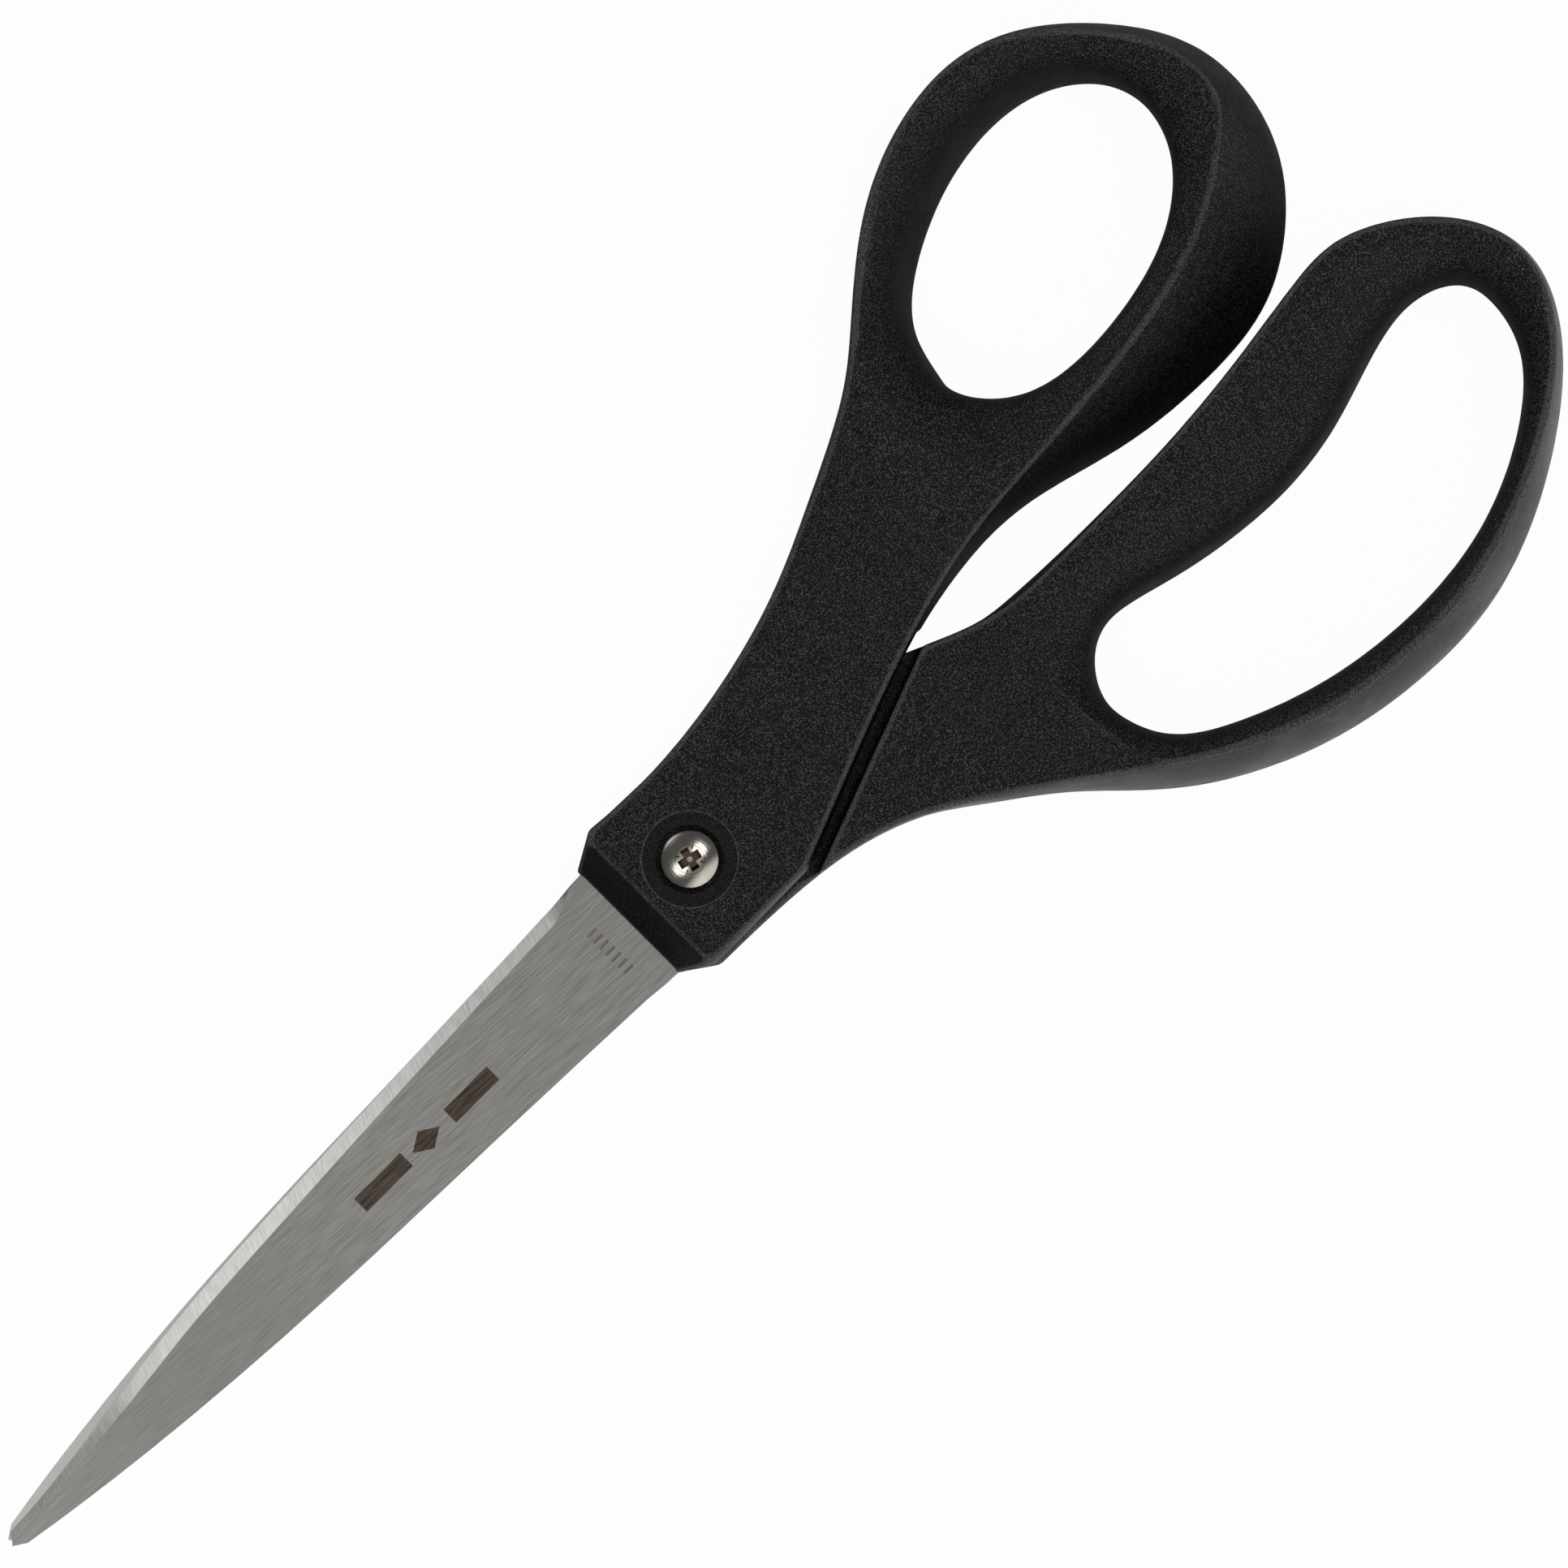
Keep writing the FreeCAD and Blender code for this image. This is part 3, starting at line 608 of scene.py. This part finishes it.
HEAD_RADIUS = 3.0
HEAD_CHAMFER = 0.1
HEAD_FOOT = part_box("spring_washer")[1].z / MM
HEAD_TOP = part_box("pivot_screw")[1].z / MM
SHANK_RADIUS = 1.5
SHANK_FOOT = 0.9
SHANK_CHAMFER = 0.2
nickel = bright_metal(
    "nickel_plate", light=(0.72, 0.68, 0.62, 1), dark=(0.58, 0.54, 0.48, 1), roughness=0.16)
# Painted light: the screw's copy of the nickel plate is brighter than the nut's, with painted shade in its
# recess.
nickel_painted_light_and_shade = bright_metal(
    "nickel_painted_light_and_shade", light=(0.93, 0.88, 0.80, 1), dark=(0.82, 0.76, 0.68, 1), roughness=0.15,
    shaded_hollow=(1.6, HEAD_FOOT - 0.3, HEAD_TOP - 0.12))
DOME_CURVE = 6.0
DOME_STEPS = 10
dome = []
for step in range(DOME_STEPS):
    radius = HEAD_RADIUS * (1 - step / DOME_STEPS)
    dome.append((radius, HEAD_TOP - DOME_CURVE + math.sqrt(DOME_CURVE**2 - radius**2)))
screw = turn_up("pivot_screw_head", [
    (SHANK_RADIUS - SHANK_CHAMFER, SHANK_FOOT), (SHANK_RADIUS, SHANK_FOOT + SHANK_CHAMFER),
    (SHANK_RADIUS, HEAD_FOOT), (HEAD_RADIUS - HEAD_CHAMFER, HEAD_FOOT),
    (HEAD_RADIUS, HEAD_FOOT + HEAD_CHAMFER),
] + dome)

CROSS_TURN = math.radians(-12)
CROSS_BAR = (2.9, 1.05, 1.6)
CROSS_SINK = 0.4
TICK_BAR = (1.2, 0.3, 0.8)
TICK_REACH = 1.5
TICK_TILT = math.radians(12)
DIMPLE_RADIUS = 0.75
DIMPLE_DEPTH = 1.5
DIMPLE_SINK = 0.65
for quarter in range(2):
    turn = CROSS_TURN + quarter * math.pi / 2
    cut_with(screw, bar_cutter(CROSS_BAR, (0, 0, HEAD_TOP - CROSS_SINK), turn, taper=0.6))
for quarter in range(4):
    turn = CROSS_TURN + math.radians(45) + quarter * math.pi / 2
    centre = (TICK_REACH * math.cos(turn), TICK_REACH * math.sin(turn), HEAD_TOP)
    cut_with(screw, bar_cutter(TICK_BAR, centre, turn, tilt=TICK_TILT, taper=0.4))
bpy.ops.object.select_all(action="DESELECT")
bpy.ops.mesh.primitive_cone_add(
    vertices=32, radius1=0.0, radius2=DIMPLE_RADIUS * MM, depth=DIMPLE_DEPTH * MM,
    location=(0, 0, (HEAD_TOP - DIMPLE_SINK) * MM))
cut_with(screw, bpy.context.object)
SCREW_EDGE = 0.03 * MM
ease_edges(screw, SCREW_EDGE, angle=30)
finish_piece(screw, nickel_painted_light_and_shade, "finger_half")
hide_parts("pivot_screw")

washer_steel = bright_metal(
    "spring_steel", light=(0.36, 0.35, 0.33, 1), dark=(0.25, 0.24, 0.22, 1), roughness=0.3)
WASHER_RADIUS = 2.9
WASHER_CHAMFER = 0.1
WASHER_FOOT = HEAD_FOOT - 0.5
WASHER_HOLE = 1.55
washer = turn_up("spring_washer_ring", [
    (WASHER_RADIUS - WASHER_CHAMFER, WASHER_FOOT), (WASHER_RADIUS, WASHER_FOOT + WASHER_CHAMFER),
    (WASHER_RADIUS, HEAD_FOOT - WASHER_CHAMFER), (WASHER_RADIUS - WASHER_CHAMFER, HEAD_FOOT)])
cut_with(washer, turn_up("washer_hole", [(WASHER_HOLE, WASHER_FOOT - 1), (WASHER_HOLE, HEAD_FOOT + 1)]))
bpy.ops.object.shade_smooth_by_angle(angle=math.radians(30))
finish_piece(washer, washer_steel, "finger_half")
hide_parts("spring_washer")

NUT_BACK = 0.25
BACK_CHAMFER = 0.15
NUT_CHAMFER = 0.1
THREAD_RADIUS = 1.52
THREAD_MOUTH = 1.8
NUT_SLOT = (10, 1.2, 1.2)
NUT_EDGE = 0.05 * MM
nut = turn_up("pivot_nut_turned", [
    (FLANGE_RADIUS - BACK_CHAMFER, NUT_BACK), (FLANGE_RADIUS, NUT_BACK + BACK_CHAMFER),
    (FLANGE_RADIUS, FLANGE_TOP - NUT_CHAMFER), (FLANGE_RADIUS - NUT_CHAMFER, FLANGE_TOP),
    (BARREL_RADIUS, FLANGE_TOP), (BARREL_RADIUS, WASHER_FOOT - NUT_CHAMFER),
    (BARREL_RADIUS - NUT_CHAMFER, WASHER_FOOT)])
cut_with(nut, turn_up("nut_thread", [
    (THREAD_MOUTH, 0.0), (THREAD_RADIUS, 0.5), (THREAD_RADIUS, HEAD_FOOT)]))
cut_with(nut, bar_cutter(NUT_SLOT, (0, 0, NUT_BACK), turn=0.0))
ease_edges(nut, NUT_EDGE, angle=30)
finish_piece(nut, nickel, "finger_half")
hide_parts("pivot_nut")


# Studio -----------------------------------------------------------------------------------------
# The scissors lie closed on a plain pale floor. Two large round lamps lean in over their two ends,
# grey panels stand along both sides, and the camera looks straight down.
def beside_finger_loop(tree):
    """A mask of the floor outside the finger loop, on the side away from the thumb loop."""
    point = tree.nodes.new("ShaderNodeTexCoord").outputs["Object"]
    loop_centre = Vector((68, -8, 0)) * MM
    loop_reach = Vector((37, 31, 1)) * MM
    from_centre = add_node(tree, "ShaderNodeVectorMath", {0: point, 1: loop_centre}, operation="SUBTRACT")
    in_reaches = add_node(
        tree, "ShaderNodeVectorMath", {0: from_centre.outputs[0], 1: loop_reach}, operation="DIVIDE")
    outside = ramp(tree, from_pivot(tree, in_reaches.outputs[0]), 1.0, 1.1)
    sideways = add_node(tree, "ShaderNodeSeparateXYZ", {0: point}).outputs["Y"]
    near_side, far_side = -11 * MM, -15 * MM
    return multiply(tree, outside, ramp(tree, sideways, near_side, far_side))


FLOOR_LIFT = 0.93


def plain_floor():
    """Pale paint, lifted to near white where it is looked at and where the finger loop mirrors it."""
    material, tree, shader = new_material("floor_paint")
    shader.inputs["Base Color"].default_value = (0.75, 0.75, 0.75, 1)
    shader.inputs["Roughness"].default_value = 0.9
    lifted = add_node(tree, "ShaderNodeEmission", {"Color": (1, 1, 1, 1), "Strength": 1.04})
    camera_ray = tree.nodes.new("ShaderNodeLightPath").outputs["Is Camera Ray"]
    seen = calculate(tree, "MULTIPLY", camera_ray, FLOOR_LIFT)
    mirrored = calculate(tree, "MULTIPLY", beside_finger_loop(tree), FLOOR_LIFT)
    lift = calculate(tree, "MAXIMUM", seen, mirrored)
    mixed = add_node(tree, "ShaderNodeMixShader", {0: lift, 1: shader.outputs[0], 2: lifted.outputs[0]})
    tree.links.new(mixed.outputs[0], tree.nodes["Material Output"].inputs["Surface"])
    return material


FLOOR_GAP = 0.02 * MM
bpy.ops.object.select_all(action="DESELECT")
bpy.ops.mesh.primitive_plane_add(size=4, location=(0, 0, -FLOOR_GAP))
floor = bpy.context.object
floor.name = "floor"
bpy.ops.object.transform_apply(location=True)
floor.data.materials.append(plain_floor())

room = bpy.data.worlds.new("white_room")
bpy.context.scene.world = room
room.use_nodes = True
tree = room.node_tree
direction = tree.nodes.new("ShaderNodeTexCoord").outputs["Generated"]
towards = add_node(tree, "ShaderNodeSeparateXYZ", {0: direction}).outputs
overhead = ramp(tree, towards["Z"], 0.85, 1.0, low=0.06, high=0.36)
finger_panel = ramp(tree, towards["Y"], -0.45, -0.7, high=0.62)
thumb_panel = ramp(tree, towards["Y"], 0.75, 0.92, high=0.95)
brightness = calculate(tree, "ADD", overhead, calculate(tree, "ADD", finger_panel, thumb_panel))
tree.nodes["Background"].inputs["Color"].default_value = (1, 1, 1, 1)
tree.links.new(brightness, tree.nodes["Background"].inputs["Strength"])

LAMP_DISTANCE = 1.0
LAMP_LEAN = math.radians(27)
for side in (-1, 1):
    lean = side * LAMP_LEAN
    bpy.ops.object.light_add(
        type="AREA", location=(LAMP_DISTANCE * math.sin(lean), 0, LAMP_DISTANCE * math.cos(lean)),
        rotation=(0, lean, 0))
    lamp = bpy.context.object
    lamp.data.shape = "DISK"
    lamp.data.size = 0.5
    lamp.data.energy = 0.8

CAMERA_AIM = Vector((12.5, -1.4, 6.0)) * MM
CAMERA_HEIGHT = 1000 * MM
CAMERA_TURN = math.radians(-45)
VIEW_WIDTH = 164.2 * MM
SENSOR = 36
bpy.ops.object.camera_add(
    location=CAMERA_AIM + Vector((0, 0, CAMERA_HEIGHT)), rotation=(0, 0, CAMERA_TURN))
camera = bpy.context.object
camera.data.sensor_width = SENSOR
camera.data.lens = SENSOR * CAMERA_HEIGHT / VIEW_WIDTH
bpy.context.scene.camera = camera
bpy.context.scene.view_settings.view_transform = "Standard"
